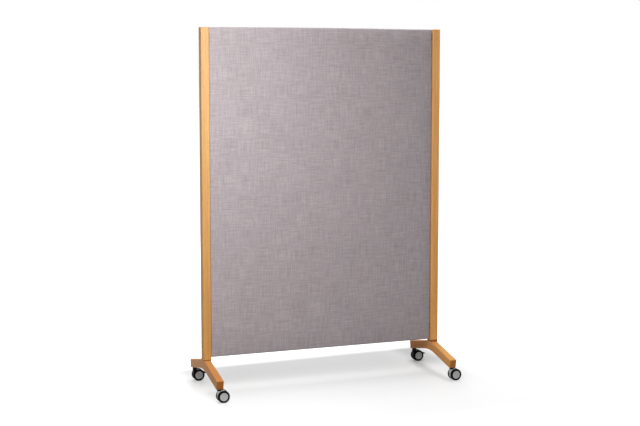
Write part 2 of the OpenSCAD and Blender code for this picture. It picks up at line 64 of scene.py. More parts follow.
class CoverSettings(bpy.types.PropertyGroup):
    """The cloth cover and what lies under it."""

    light: bpy.props.FloatVectorProperty(
        name="Light yarn", description="Colour of the lighter yarns",
        subtype="COLOR", size=3, min=0, max=1, default=(0.470, 0.415, 0.433))
    dark: bpy.props.FloatVectorProperty(
        name="Dark yarn", description="Colour of the darker yarns",
        subtype="COLOR", size=3, min=0, max=1, default=(0.299, 0.260, 0.271))
    warm: bpy.props.FloatVectorProperty(
        name="Warm slub", description="Colour of the odd warm slub in the cloth",
        subtype="COLOR", size=3, min=0, max=1, default=(0.450, 0.370, 0.352))
    thickness: bpy.props.FloatProperty(
        name="Thickness", description="Thickness of the cloth",
        unit="LENGTH", subtype="DISTANCE", default=0.0006)
    crown: bpy.props.FloatProperty(
        name="Crown", description="How far the padding stands proud of the panel's edges",
        unit="LENGTH", subtype="DISTANCE", default=0.0040)
    roll: bpy.props.FloatProperty(
        name="Edge roll", description="How far the face falls back towards the panel's edges",
        unit="LENGTH", subtype="DISTANCE", default=0.0065)
    side_bulge: bpy.props.FloatProperty(
        name="Side bulge", description="How far the panel's sides bulge towards the posts",
        unit="LENGTH", subtype="DISTANCE", default=0.0014)
    top_rise: bpy.props.FloatProperty(
        name="Top rise", description="How far the padding fills out the panel's top edge",
        unit="LENGTH", subtype="DISTANCE", default=0.0026)
    lumps: bpy.props.FloatProperty(
        name="Lumps", description="Unevenness of the padding under the cloth",
        unit="LENGTH", subtype="DISTANCE", default=0.0004)
    seam: bpy.props.FloatProperty(
        name="Seam", description="Depth of the seam along the panel's edges",
        unit="LENGTH", subtype="DISTANCE", default=0.0007)
    thread: bpy.props.FloatProperty(
        name="Thread pitch", description="Distance from thread to thread",
        unit="LENGTH", subtype="DISTANCE", default=0.0013)


class WoodSettings(bpy.types.PropertyGroup):
    """The oak of the posts and feet, and the plain wood of the inner frame."""

    light: bpy.props.FloatVectorProperty(
        name="Early wood", description="Colour of the oak between its growth lines",
        subtype="COLOR", size=3, min=0, max=1, default=(0.700, 0.385, 0.140))
    dark: bpy.props.FloatVectorProperty(
        name="Late wood", description="Colour of the oak's growth lines",
        subtype="COLOR", size=3, min=0, max=1, default=(0.560, 0.265, 0.080))
    pores: bpy.props.FloatVectorProperty(
        name="Pores", description="Colour in the oak's open pores",
        subtype="COLOR", size=3, min=0, max=1, default=(0.300, 0.120, 0.035))
    end_grain: bpy.props.FloatVectorProperty(
        name="End grain", description="Tint of the oak where it is cut across, which drinks more oil",
        subtype="COLOR", size=3, min=0, max=1, default=(0.70, 0.56, 0.43))
    # Painted shade along the line where a post stands on its foot.
    joint_shade: bpy.props.FloatVectorProperty(
        name="Joint", description="Tint of the line where a post stands on its foot",
        subtype="COLOR", size=3, min=0, max=1, default=(0.42, 0.27, 0.16))
    frame_light: bpy.props.FloatVectorProperty(
        name="Frame wood", description="Colour of the inner frame's wood",
        subtype="COLOR", size=3, min=0, max=1, default=(0.640, 0.480, 0.290))


class CasterSettings(bpy.types.PropertyGroup):
    """The casters' plastics and rubber."""

    tyre: bpy.props.FloatVectorProperty(
        name="Tyre", description="Colour of the tyres",
        subtype="COLOR", size=3, min=0, max=1, default=(0.004, 0.004, 0.004))
    hub: bpy.props.FloatVectorProperty(
        name="Hub", description="Colour of the wheels' hubs",
        subtype="COLOR", size=3, min=0, max=1, default=(0.470, 0.470, 0.476))
    front_fork: bpy.props.FloatVectorProperty(
        name="Front forks", description="Colour of the forks without a brake",
        subtype="COLOR", size=3, min=0, max=1, default=(0.480, 0.480, 0.455))
    black: bpy.props.FloatVectorProperty(
        name="Black plastic", description="Colour of the braked forks, levers and collars",
        subtype="COLOR", size=3, min=0, max=1, default=(0.005, 0.005, 0.005))


class StageSettings(bpy.types.PropertyGroup):
    """The floor, the light and the camera."""

    world_light: bpy.props.FloatProperty(
        name="Sky light", description="Strength of the even light from all round", default=0.25)
    key_power: bpy.props.FloatProperty(
        name="Key light", description="Power of the soft light close by at the upper left front",
        unit="POWER", default=42.0)
    fill_power: bpy.props.FloatProperty(
        name="Fill light", description="Power of the soft light far off at the front",
        unit="POWER", default=26.0)
    back_power: bpy.props.FloatProperty(
        name="Back light", description="Power of the soft light high above the panel",
        unit="POWER", default=50.0)
    rear_power: bpy.props.FloatProperty(
        name="Rear fill light", description="Power of the soft light far off behind",
        unit="POWER", default=90.0)
    floor_tone: bpy.props.FloatProperty(
        name="Floor tone", description="How pale the floor is",
        subtype="FACTOR", min=0, max=1, default=0.50)
    floor_bounce: bpy.props.FloatProperty(
        name="Floor bounce", description="How much light the floor throws back on the object",
        subtype="FACTOR", min=0, max=1, default=0.25)
    floor_glow: bpy.props.FloatProperty(
        name="Floor glow", description="How much white is added to the floor beside the object",
        subtype="FACTOR", min=0, max=1, default=0.43)
    # Painted shadow: how much the floor's glow is lowered under the panel and by the right foot.
    painted_floor_shadow: bpy.props.FloatProperty(
        name="Floor shade", description="How much of that white is missing under the panel",
        subtype="FACTOR", min=0, max=1, default=0.23)
    lens: bpy.props.FloatProperty(
        name="Lens", description="Focal length of the camera", unit="CAMERA", default=70.876)
    camera_place: bpy.props.FloatVectorProperty(
        name="Camera", description="Where the camera stands", size=3,
        unit="LENGTH", subtype="TRANSLATION", default=(-2.2715, -5.9581, 1.6246))
    camera_turn: bpy.props.FloatProperty(
        name="Turn", description="How far the camera looks to the right of straight ahead",
        subtype="ANGLE", default=math.radians(20.542))
    camera_dip: bpy.props.FloatProperty(
        name="Dip", description="How far the camera looks down",
        subtype="ANGLE", default=math.radians(5.3))
    camera_shift: bpy.props.FloatProperty(
        name="Shift", description="Vertical shift of the lens, as a share of the picture's width",
        default=-0.0511)


# ---- Nodes ----

class Nodes:
    """A node tree, filled one node at a time. A value that is a socket is linked."""

    def __init__(self, tree):
        self.tree = tree
        self.tree.nodes.clear()

    def add(self, kind, sockets=(), **settings):
        """Adds a node. Its sockets are named, or numbered where two have the same name."""
        node = self.tree.nodes.new("ShaderNode" + kind)
        for name, value in settings.items():
            setattr(node, name, value)
        for name, value in dict(sockets).items():
            self.put(node.inputs[name], value)
        return node

    def put(self, socket, value):
        if isinstance(value, bpy.types.NodeSocket):
            self.tree.links.new(value, socket)
        elif isinstance(socket.default_value, (int, float)):
            socket.default_value = value
        elif len(socket.default_value) == 4:
            socket.default_value = (*value[:3], 1.0)
        else:
            socket.default_value = value

    def maths(self, operation, first, second=0.0):
        return self.add("Math", {0: first, 1: second}, operation=operation).outputs[0]

    def product(self, first, *factors):
        """All the values multiplied together."""
        for factor in factors:
            first = self.maths("MULTIPLY", first, factor)
        return first

    def seen(self):
        """1 for rays from the camera, straight or by way of a glossy or clear surface, and else 0."""
        rays = self.add("LightPath").outputs
        either = self.maths("MAXIMUM", rays["Is Camera Ray"], rays["Is Glossy Ray"])
        return self.maths("MAXIMUM", either, rays["Is Transmission Ray"])


class Finish(Nodes):
    """A material and its nodes."""

    def __init__(self, name):
        self.material = bpy.data.materials.new(name)
        self.material.use_nodes = True
        super().__init__(self.material.node_tree)

    def object_place(self, scale=(1, 1, 1), turn=(0, 0, 0)):
        """Object coordinates, stretched by scale and turned by turn."""
        place = self.add("TexCoord").outputs["Object"]
        return self.add("Mapping", {"Vector": place, "Scale": scale, "Rotation": turn}).outputs["Vector"]

    def cloth_place(self, scale=(1, 1, 1)):
        """The cloth's own flat coordinates in metres, stretched by scale."""
        place = self.add("UVMap", uv_map="flat").outputs["UV"]
        return self.add("Mapping", {"Vector": place, "Scale": scale}).outputs["Vector"]

    def noise(self, place, detail=2.0, roughness=0.5, distortion=0.0):
        sockets = {"Vector": place, "Scale": 1.0, "Detail": detail,
                   "Roughness": roughness, "Distortion": distortion}
        return self.add("TexNoise", sockets).outputs[0]

    def speckle(self, fineness, detail=2.0, roughness=0.5, distortion=0.0):
        """Noise on object coordinates, alike in every direction."""
        return self.noise(self.object_place((fineness,) * 3), detail, roughness, distortion)

    def spread(self, value, low, high, new_low=0.0, new_high=1.0):
        """Stretches the stretch low..high of a value over new_low..new_high."""
        sockets = {"Value": value, "From Min": low, "From Max": high,
                   "To Min": new_low, "To Max": new_high}
        return self.add("MapRange", sockets).outputs["Result"]

    def smooth(self, value, start, end):
        """Goes from 0 to 1, from start to end in a smooth step; end may be the smaller one."""
        sockets = {"Value": value, "From Min": min(start, end), "From Max": max(start, end),
                   "To Min": float(start > end), "To Max": float(start < end)}
        return self.add("MapRange", sockets, interpolation_type="SMOOTHSTEP").outputs["Result"]

    def grey(self, value):
        """A grey of this value, to multiply a colour by."""
        return self.add("CombineColor", {"Red": value, "Green": value, "Blue": value}).outputs[0]

    def mix(self, share, first, second, blend="MIX"):
        sockets = {0: share, 6: first, 7: second}
        return self.add("Mix", sockets, data_type="RGBA", blend_type=blend).outputs[2]

    def tinted(self, colour, tint):
        """A colour multiplied by another."""
        return self.mix(1.0, colour, tint, "MULTIPLY")

    def bump(self, height, distance, strength=1.0):
        sockets = {"Height": height, "Distance": distance, "Strength": strength}
        return self.add("Bump", sockets).outputs["Normal"]

    def surface(self, **sockets):
        """The shader itself; socket names are given with _ for a space."""
        named = {name.replace("_", " "): value for name, value in sockets.items()}
        shader = self.add("BsdfPrincipled", named)
        self.add("OutputMaterial", {"Surface": shader.outputs[0]})
        return self.material


def stretch(axis, across, lengthwise):
    """A scale for all three axes, with a value of its own along one of them."""
    return [lengthwise if name == axis else across for name in "xyz"]


def paint(names, material):
    """Gives CAD nodes a material."""
    for name in names:
        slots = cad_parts[name].data.materials
        slots.clear()
        slots.append(material)


# ---- Woods ----

LEG_SLOPE = math.radians(12)

# From one growth ring of the oak to the next, and how far a ring wanders.
RING = 2.9 * MM
RING_BEND = 7 * MM

# From the middle of a board with its grain along this axis to the heart of its tree.
HEART = {"z": (0.030, 0.085, 0), "y": (0.028, 0, -0.062)}

# How high the painted shade reaches up a post's lower end, where it stands on its foot.
PAINTED_SHADE_REACH = {"left_post": 5 * MM, "right_post": 14 * MM}

# Each board's tint, at the lower or front end of its grain and at the other end. It is partly the board's
# own tone and partly painted light and shade: the left post paler at its top than at its foot, the right
# post and the right foot's front leg lightened, and the right foot's rear leg darkened.
POST_TINTS_AND_PAINTED_LIGHT = {
    "left_post": ((0.93, 0.87, 0.74), (0.92, 1.00, 1.22)),
    "right_post": ((1.26, 1.20, 1.12), (1.30, 1.27, 1.32)),
}
FOOT_TINTS_AND_PAINTED_LIGHT = {
    "left_foot": ((0.80, 0.64, 0.55), (1.05, 0.90, 0.70)),
    "right_foot": ((1.14, 1.05, 0.92), (0.85, 0.63, 0.43)),
}
FRAME_UPRIGHT = ("left_stile", "right_stile")
FRAME_ACROSS = ("top_rail", "middle_rail", "bottom_rail", "frame_dowels")


class Oak(Finish):
    """Oiled oak with its grain along one axis of a board."""

    def __init__(self, node, grain, slope):
        """The grain falls away on both sides of the board's middle by the angle slope."""
        super().__init__(f"oak_{node}")
        self.grain = grain
        self.along = "xyz".index(grain)
        self.low, self.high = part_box(node)
        coords = self.add("TexCoord").outputs
        self.facing = self.add("SeparateXYZ", {"Vector": coords["Normal"]}).outputs
        self.axes = self.add("SeparateXYZ", {"Vector": coords["Object"]}).outputs
        fall = self.product(self.maths("ABSOLUTE", self.axes[1]), math.tan(slope))
        place = {"X": self.axes[0], "Y": self.axes[1], "Z": self.maths("ADD", self.axes[2], fall)}
        self.place = self.add("CombineXYZ", place).outputs[0]

    def stretched(self, across, lengthwise, start=(0, 0, 0)):
        """Coordinates that follow the grain, scaled across it and along it."""
        sockets = {"Vector": self.place, "Scale": stretch(self.grain, across, lengthwise), "Location": start}
        return self.add("Mapping", sockets).outputs["Vector"]

    def growth(self):
        """How dark the growth lines are: late wood in rings round the heart, and loose lines."""
        heart = (self.low + self.high) / 2 + Vector(HEART[self.grain])
        heart[self.along] = 0
        from_heart = self.stretched(1, 0, -heart)
        reach = self.add("VectorMath", {"Vector": from_heart}, operation="LENGTH").outputs["Value"]
        bend = self.spread(self.noise(self.stretched(8, 0.8)), 0.0, 1.0, -RING_BEND, RING_BEND)
        ring = self.maths("FRACT", self.product(self.maths("ADD", reach, bend), 1 / RING))
        late = self.product(self.smooth(ring, 0.25, 0.85), self.smooth(ring, 1.0, 0.9))
        loose = self.noise(self.stretched(30, 1.1), detail=4.0, roughness=0.62, distortion=1.1)
        lines = self.spread(loose, 0.36, 0.66)
        return self.maths("ADD", self.product(lines, 0.62), self.product(late, 0.42))

    def grained(self, settings, fibres, pores):
        """The wood's own colour: growth lines, pale drifts, fibres, flecks and pores."""
        drift = self.noise(self.stretched(9, 0.9))
        flecks = self.spread(self.noise(self.stretched(240, 60), detail=1.0), 0.68, 0.76)
        pale = [min(1.0, c * 1.14) for c in settings.light]
        colour = self.mix(self.growth(), settings.light, settings.dark)
        colour = self.mix(self.spread(drift, 0.35, 0.7, 0.0, 0.5), colour, pale)
        colour = self.tinted(colour, self.grey(self.spread(fibres, 0.3, 0.7, 0.86, 1.08)))
        colour = self.mix(self.product(flecks, 0.15), colour, pale)
        return self.mix(self.product(pores, 0.5), colour, settings.pores)

    def end_darkened(self, colour, settings):
        """The colour, darker where the board is cut across its grain."""
        cut = self.smooth(self.maths("ABSOLUTE", self.facing[self.along]), 0.55, 0.92)
        return self.mix(cut, colour, self.tinted(colour, settings.end_grain))

    def painted_joint_shade(self, colour, settings, joint_shade):
        """The colour, with painted shade over the lowest part of the board where it stands on its foot, up
        to the height given.
        """
        foot = self.smooth(self.axes[2], self.low.z + joint_shade, self.low.z + 0.5 * joint_shade)
        return self.mix(foot, colour, self.tinted(colour, settings.joint_shade))


def oak(node, grain, settings, tints_and_painted_light, slope=0.0, joint_shade=0.0):
    """The oak of one post or foot. Its tint, partly its own tone and partly painted light and shade, drifts
    from the first tint given to the second.
    """
    wood = Oak(node, grain, slope)
    fibres = wood.noise(wood.stretched(800, 12), detail=3.0, roughness=0.65)
    pores = wood.spread(wood.noise(wood.stretched(1150, 30), detail=1.0, roughness=0.4), 0.66, 0.74)
    colour = wood.end_darkened(wood.grained(settings, fibres, pores), settings)
    # Painted light and shade: the tint drifts along the grain from one end of the board to the other.
    drift = wood.smooth(wood.axes[wood.along], wood.low[wood.along], wood.high[wood.along])
    colour = wood.tinted(colour, wood.mix(drift, *tints_and_painted_light))
    # Painted shade where a post stands on its foot.
    if joint_shade:
        colour = wood.painted_joint_shade(colour, settings, joint_shade)
    relief = wood.maths("SUBTRACT", wood.product(fibres, 0.5), pores)
    return wood.surface(Base_Color=colour, Roughness=wood.spread(fibres, 0.3, 0.7, 0.42, 0.56),
                        Normal=wood.bump(relief, 0.18 * MM, 0.5), Specular_IOR_Level=0.08)


def frame_wood(name, grain, settings):
    """Planed softwood of the inner frame, unvarnished."""
    wood = Finish(name)
    lengthwise = wood.object_place(stretch(grain, 60.0, 2.0))
    rings = wood.noise(lengthwise, detail=4.0, roughness=0.6, distortion=1.5)
    knots = wood.speckle(14, detail=1.0)
    dark = [c * 0.66 for c in settings.frame_light]
    colour = wood.mix(wood.spread(rings, 0.35, 0.7), settings.frame_light, dark)
    colour = wood.mix(wood.spread(knots, 0.72, 0.8, 0.0, 0.6), colour, settings.pores)
    return wood.surface(Base_Color=colour, Roughness=0.72, Normal=wood.bump(rings, 0.2 * MM, 0.5))


# ---- Cloth, felt, plastic, rubber and metal ----

def cover_cloth(settings):
    """Heathered plain weave: long slubs both ways, threads over and under, and a soft nap."""
    cloth = Finish("cover_cloth")

    def yarns(along, across, detail):
        """The unevenness of the yarns that run each way, so many to a metre along and across."""
        weft = cloth.noise(cloth.cloth_place((along, across, 1)), detail, roughness=0.6)
        warp = cloth.noise(cloth.cloth_place((across, along, 1)), detail, roughness=0.6)
        return cloth.maths("ADD", weft, warp)

    slubs = yarns(11, 165, 3.0)
    fine = yarns(55, 640, 2.0)
    heather = cloth.maths("ADD", cloth.product(slubs, 0.55), cloth.product(fine, 0.3))
    colour = cloth.mix(cloth.spread(heather, 0.66, 1.04), settings.dark, settings.light)
    warm_yarn = cloth.noise(cloth.cloth_place((14, 230, 1)))
    colour = cloth.mix(cloth.spread(warm_yarn, 0.54, 0.72, 0.0, 0.5), colour, settings.warm)
    blotch = cloth.noise(cloth.cloth_place((5, 5, 1)), detail=3.0)
    colour = cloth.tinted(colour, cloth.grey(cloth.spread(blotch, 0.3, 0.7, 0.97, 1.03)))

    turns = math.pi / settings.thread
    threads = cloth.add("SeparateXYZ", {"Vector": cloth.cloth_place((turns, turns, 1))}).outputs
    weave = cloth.product(cloth.maths("SINE", threads[0]), cloth.maths("SINE", threads[1]))
    colour = cloth.tinted(colour, cloth.grey(cloth.spread(weave, -1.0, 1.0, 0.93, 1.05)))
    nap = cloth.noise(cloth.cloth_place((2600, 2600, 1)), detail=2.0, roughness=0.7)
    height = cloth.maths("ADD", cloth.product(weave, 0.5), cloth.maths("ADD", fine, nap))
    return cloth.surface(Base_Color=colour, Roughness=0.92, Normal=cloth.bump(height, 0.22 * MM, 0.55),
                         Sheen_Weight=0.12, Sheen_Roughness=0.45, Specular_IOR_Level=0.15)


def felt(name, colour):
    """Needled felt: matted fibres with a soft, uneven face."""
    mat = Finish(name)
    fibres = mat.speckle(520, detail=5.0, roughness=0.75, distortion=2.0)
    tufts = mat.speckle(60, detail=3.0)
    dark = [c * 0.7 for c in colour]
    tone = mat.mix(mat.spread(fibres, 0.3, 0.7), dark, colour)
    height = mat.maths("ADD", fibres, mat.product(tufts, 0.4))
    return mat.surface(Base_Color=tone, Roughness=0.97, Normal=mat.bump(height, 0.6 * MM, 0.6),
                       Sheen_Weight=0.3)


def moulded(name, colour, roughness=0.42, shine=0.3):
    """Moulded plastic with a fine spark-eroded grain and faint scuffs."""
    plastic = Finish(name)
    pits = plastic.speckle(2600, detail=2.0, roughness=0.6)
    scuffs = plastic.noise(plastic.object_place((90, 90, 260)), detail=4.0, roughness=0.7, distortion=0.6)
    worn = [min(1.0, c * 1.25 + 0.002) for c in colour]
    tone = plastic.mix(plastic.spread(scuffs, 0.5, 0.78, 0.0, 0.5), colour, worn)
    rough = plastic.spread(scuffs, 0.3, 0.8, roughness - 0.06, roughness + 0.12)
    return plastic.surface(Base_Color=tone, Roughness=rough, Normal=plastic.bump(pits, 0.06 * MM, 0.5),
                           Specular_IOR_Level=shine)


def tyre_rubber(settings):
    """Soft black rubber with a faint grain, dusty in patches."""
    rubber = Finish("tyre_rubber")
    grain = rubber.speckle(900, detail=3.0, roughness=0.7)
    dust = rubber.speckle(70, detail=4.0, roughness=0.7)
    dusty = [c * 1.8 + 0.004 for c in settings.tyre]
    tone = rubber.mix(rubber.spread(dust, 0.50, 0.76, 0.0, 0.7), settings.tyre, dusty)
    rough = rubber.spread(dust, 0.3, 0.7, 0.62, 0.80)
    return rubber.surface(Base_Color=tone, Roughness=rough, Normal=rubber.bump(grain, 0.08 * MM, 0.5),
                          Specular_IOR_Level=0.05)


def turned_metal(name, colour, roughness, axis):
    """Bare or blackened metal with fine tool marks round its axis."""
    metal = Finish(name)
    marks = metal.noise(metal.object_place(stretch(axis, 60.0, 2400.0)), detail=3.0, roughness=0.6)
    stains = metal.speckle(130, detail=3.0)
    dull = [c * 0.72 for c in colour]
    tone = metal.mix(metal.spread(stains, 0.4, 0.75, 0.0, 0.7), colour, dull)
    rough = metal.spread(marks, 0.3, 0.7, roughness - 0.07, roughness + 0.1)
    return metal.surface(Base_Color=tone, Metallic=1.0, Roughness=rough,
                         Normal=metal.bump(marks, 0.04 * MM, 0.4))


# ---- Mesh helpers ----

# Points closer together than this are one point.
MERGE = 0.01 * MM


def finished(name, mesh, material, sharp=None):
    """Makes the piece of a bmesh, with its place in its vertices.

    It is shaded smooth, but for corners where faces meet at more than sharp degrees.
    """
    data = bpy.data.meshes.new(name)
    mesh.to_mesh(data)
    mesh.free()
    data.materials.append(material)
    data.shade_smooth()
    if sharp is not None:
        data.set_sharp_from_angle(angle=math.radians(sharp))
    piece = bpy.data.objects.new(name, data)
    bpy.context.scene.collection.objects.link(piece)
    return piece


def dress(piece, body, slot, *nodes):
    """Puts a piece on its body, in the place of its CAD nodes."""
    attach(piece, body)
    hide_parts(*nodes)
    return piece


def middle_of(node):
    """The middle of a CAD node's box."""
    low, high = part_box(node)
    return (low + high) / 2


def lathe(points, steps, closed):
    """Turns a profile of (radius, height) round the Z axis. A closed one is a ring."""
    mesh = bmesh.new()
    verts = [mesh.verts.new((radius, 0, height)) for radius, height in points]
    pairs = list(zip(verts, verts[1:]))
    if closed:
        pairs.append((verts[-1], verts[0]))
    edges = [mesh.edges.new(pair) for pair in pairs]
    bmesh.ops.spin(mesh, geom=verts + edges, cent=(0, 0, 0), axis=(0, 0, 1), dvec=(0, 0, 0),
                   angle=math.tau, steps=steps, use_merge=True, use_duplicate=False)
    bmesh.ops.remove_doubles(mesh, verts=mesh.verts, dist=MERGE)
    bmesh.ops.recalc_face_normals(mesh, faces=mesh.faces)
    return mesh


def arc(centre, radius, start, end, steps):
    """Points on an arc, from one angle to another in degrees."""
    angles = [math.radians(start + (end - start) * k / steps) for k in range(steps + 1)]
    return [(centre[0] + radius * math.cos(a), centre[1] + radius * math.sin(a)) for a in angles]


def round_over(mesh, edges, offset, segments, clamp=False):
    """Bevels edges to a round."""
    bmesh.ops.bevel(mesh, geom=edges, offset=offset, offset_type="OFFSET", segments=segments,
                    profile=0.5, affect="EDGES", clamp_overlap=clamp, material=-1)


def block(size, edge):
    """A box round the origin with rounded edges."""
    mesh = bmesh.new()
    bmesh.ops.create_cube(mesh, size=1)
    bmesh.ops.scale(mesh, vec=size, verts=mesh.verts)
    round_over(mesh, mesh.edges[:], edge, 2)
    return mesh


def plate(outline, width, edge):
    """A side view in (x, z), cut from a plate that is centred on the XZ plane, with rounded rims."""
    mesh = bmesh.new()
    verts = [mesh.verts.new((x, -width / 2, z)) for x, z in outline]
    face = mesh.faces.new(verts)
    grown = bmesh.ops.extrude_face_region(mesh, geom=[face])["geom"]
    moved = [g for g in grown if isinstance(g, bmesh.types.BMVert)]
    bmesh.ops.translate(mesh, vec=(0, width, 0), verts=moved)
    bmesh.ops.recalc_face_normals(mesh, faces=mesh.faces)
    rims = [e for e in mesh.edges if abs(e.verts[0].co.y - e.verts[1].co.y) < width / 2]
    round_over(mesh, rims, edge, 3, clamp=True)
    return mesh


def grid(columns, rows):
    """A flat grid with its lines at these places along x and y."""
    mesh = bmesh.new()
    bmesh.ops.create_grid(mesh, x_segments=len(columns) - 1, y_segments=len(rows) - 1, size=1)
    for vert in mesh.verts:
        column = round((vert.co.x + 1) / 2 * (len(columns) - 1))
        row = round((vert.co.y + 1) / 2 * (len(rows) - 1))
        vert.co = (columns[column], rows[row], 0)
    return mesh


def grid_lines(*stretches):
    """Grid lines on both sides of 0. A stretch is where it ends and its steps from the one before."""
    lines = [0.0]
    start = 0.0
    for end, steps in stretches:
        lines += [start + (end - start) * k / steps for k in range(1, steps + 1)]
        start = end
    return [-line for line in reversed(lines[1:])] + lines


def absorb(mesh, other):
    """Adds one bmesh to another and frees it."""
    data = bpy.data.meshes.new("part")
    other.to_mesh(data)
    other.free()
    mesh.from_mesh(data)
    bpy.data.meshes.remove(data)


def smooth_step(low, high, value):
    share = min(1.0, max(0.0, (value - low) / (high - low)))
    return share * share * (3 - 2 * share)


def within(limit, value):
    """The value, held between -limit and limit."""
    return max(-limit, min(limit, value))


# ---- The panel ----

SPACER_R = 8.5 * MM
BOLT_PITCH = 19 * MM

# How far from the seam the cloth starts to sink into it.
SEAM_REACH = 2.2 * MM

# From the cloth to the felt, and from a sound-absorbing board to the rail beside it.
FELT_CLEARANCE = 0.35 * MM
BOARD_CLEARANCE = 0.6 * MM


class PanelForm:
    """The padded panel's outer form: a board with rounded edges, filled out by its padding."""

    edge = 6 * MM

    # How far from an edge the face starts to fall back.
    side_roll = 65 * MM
    bottom_roll = 120 * MM

    # How far from a bolt the sides are held flat, and bulge fully.
    held = 14 * MM
    free = 70 * MM

    # The padding's wide and narrow lumps, in waves to a metre, and how much the narrow ones count.
    wide_lumps = 3.1
    narrow_lumps = 11.0
    narrow_share = 0.35

    # The top edge's swell: the share of the width where it ends, how far below the top it starts
    # and how far below it is full, and its ripple as a share of it and in waves to a metre.
    swell_end = 1 / 1.12
    swell_start = 160 * MM
    swell_full = 10 * MM
    ripple_share = 0.16
    ripple_waves = 9.0

    def __init__(self, settings):
        low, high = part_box("front_fabric")
        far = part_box("back_fabric")[1]
        self.middle = Vector(((low.x + high.x) / 2, 0, (low.z + high.z) / 2))
        self.half = Vector(((high.x - low.x) / 2, far.y, (high.z - low.z) / 2))
        self.settings = settings
        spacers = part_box("panel_spacers")
        lowest = spacers[0].z + SPACER_R
        highest = spacers[1].z - SPACER_R
        self.bolts = (lowest, lowest + BOLT_PITCH, highest - BOLT_PITCH, highest)

    def lump(self, x, z, waves, layer):
        """Smooth noise over the face. Each layer has its own."""
        return noise.noise(Vector((x * waves, layer, z * waves)))

    def stand(self, x, z, side):
        """How far the face stands proud at a place, measured from the panel's middle."""
        beside = max(0.0, 1 - (self.half.x - abs(x)) / self.side_roll) ** 2
        below = max(0.0, 1 - (self.half.z + z) / self.bottom_roll) ** 2
        above = max(0.0, 1 - (self.half.z - z) / self.side_roll) ** 2
        fallen = 1 - (1 - beside) * (1 - below) * (1 - above)
        wide = self.lump(x, z, self.wide_lumps, side * 5.0)
        narrow = self.lump(x, z, self.narrow_lumps, side * 9.0 + 3.0)
        lumps = self.settings.lumps * (wide + self.narrow_share * narrow)
        return self.settings.crown - self.settings.roll * fallen + lumps * (1 - fallen)

    def bulge(self, z):
        """How far the sides bulge towards the posts: not at the bolts, where spacers hold them."""
        clear = min(abs(self.middle.z + z - bolt) for bolt in self.bolts)
        return self.settings.side_bulge * smooth_step(self.held, self.free, clear)

    def rise(self, x, z):
        """How far the padding lifts the top edge: most left of the middle, none at the right."""
        share = (x + self.half.x) / (2 * self.half.x)
        swell = math.sin(math.pi * min(1.0, share / self.swell_end))
        from_ends = min(1.0, 8 * share * (1 - share))
        ripple = self.ripple_share * self.lump(x, 0, self.ripple_waves, 4.0) * from_ends
        near_top = smooth_step(self.half.z - self.swell_start, self.half.z - self.swell_full, z)
        return self.settings.top_rise * (swell + ripple) * near_top

    def rounded(self, x, y, z):
        """Draws a point of the sharp-edged board in to the rounded one; also its outward direction."""
        core = Vector([within(h - self.edge, v) for h, v in zip(self.half, (x, y, z))])
        out = (Vector((x, y, z)) - core).normalized()
        return core + out * self.edge, out

    def set_down(self, place, side):
        """A place on the front half, lifted with the top edge and put on this side of the panel."""
        height = place.z + self.rise(place.x, place.z)
        return self.middle + Vector((place.x, -side * place.y, height))


def thread_lines(half, turn):
    """Grid lines across the cloth: wide apart on the face, close together where it turns."""
    near = half - 30 * MM
    wide = round(near / (12 * MM))
    edge = PanelForm.edge
    return grid_lines((near, wide), (half - edge, 8), (half + edge, 12), (half + turn, 6))


def face_lines(half):
    """Grid lines across the panel's face alone, to the middle of the rounding at its edges."""
    near = half - 50 * MM
    wide = round(near / (25 * MM))
    return grid_lines((near, wide), (half - PanelForm.edge, 6), (half, 5))


def cover_half(form, name, material):
    """One half of the cover: a flat cut of cloth, folded round the panel's edges to the seam."""
    side = SIDES[name]
    turn = form.half.y
    mesh = grid(thread_lines(form.half.x, turn), thread_lines(form.half.z, turn))
    flat = mesh.loops.layers.uv.new("flat")
    corners = []
    for face in mesh.faces:
        for loop in face.loops:
            loop[flat].uv = loop.vert.co.xy
        across, up, _ = face.calc_center_median()
        if abs(across) > form.half.x and abs(up) > form.half.z:
            corners.append(face)
    bmesh.ops.delete(mesh, geom=corners, context="FACES")
    for vert in mesh.verts:
        across, up, _ = vert.co
        back = max(abs(across) - form.half.x, abs(up) - form.half.z, 0.0)
        x = within(form.half.x, across)
        z = within(form.half.z, up)
        place, out = form.rounded(x, back - form.half.y, z)
        proud = form.stand(place.x, place.z, side) * max(0.0, -out.y)
        proud += form.bulge(place.z) * out.x ** 2
        sunk = form.settings.seam * smooth_step(turn - SEAM_REACH, turn, back)
        place += out * (proud - sunk)
        vert.co = form.set_down(place, side)
    bmesh.ops.remove_doubles(mesh, verts=mesh.verts, dist=2 * MERGE)
    bmesh.ops.recalc_face_normals(mesh, faces=mesh.faces)
    probe = max(mesh.faces, key=lambda f: f.calc_area())
    if probe.normal.y * side < 0:
        bmesh.ops.reverse_faces(mesh, faces=mesh.faces)
    piece = finished(f"{name}_cover", mesh, material)
    body = piece.modifiers.new("cloth", "SOLIDIFY")
    body.thickness = form.settings.thickness
    body.offset = -1.0
    return piece


def felt_pad(form, name, material):
    """The felt under one half of the cover: flat on the frame, and as full as the cloth outside."""
    side = SIDES[name]
    low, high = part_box(f"{name}_padding")
    inner = high.y if side < 0 else low.y
    under = form.settings.thickness + FELT_CLEARANCE
    mesh = grid(face_lines(form.half.x), face_lines(form.half.z))
    for vert in mesh.verts:
        x, z, _ = vert.co
        place, out = form.rounded(x, -form.half.y, z)
        place += out * (form.stand(place.x, place.z, side) * -out.y - under)
        vert.co = form.set_down(place, side)
    grown = bmesh.ops.extrude_face_region(mesh, geom=mesh.faces[:])["geom"]
    for vert in (g for g in grown if isinstance(g, bmesh.types.BMVert)):
        vert.co.y = inner
    bmesh.ops.recalc_face_normals(mesh, faces=mesh.faces)
    return finished(f"{name}_felt", mesh, material, sharp=50)


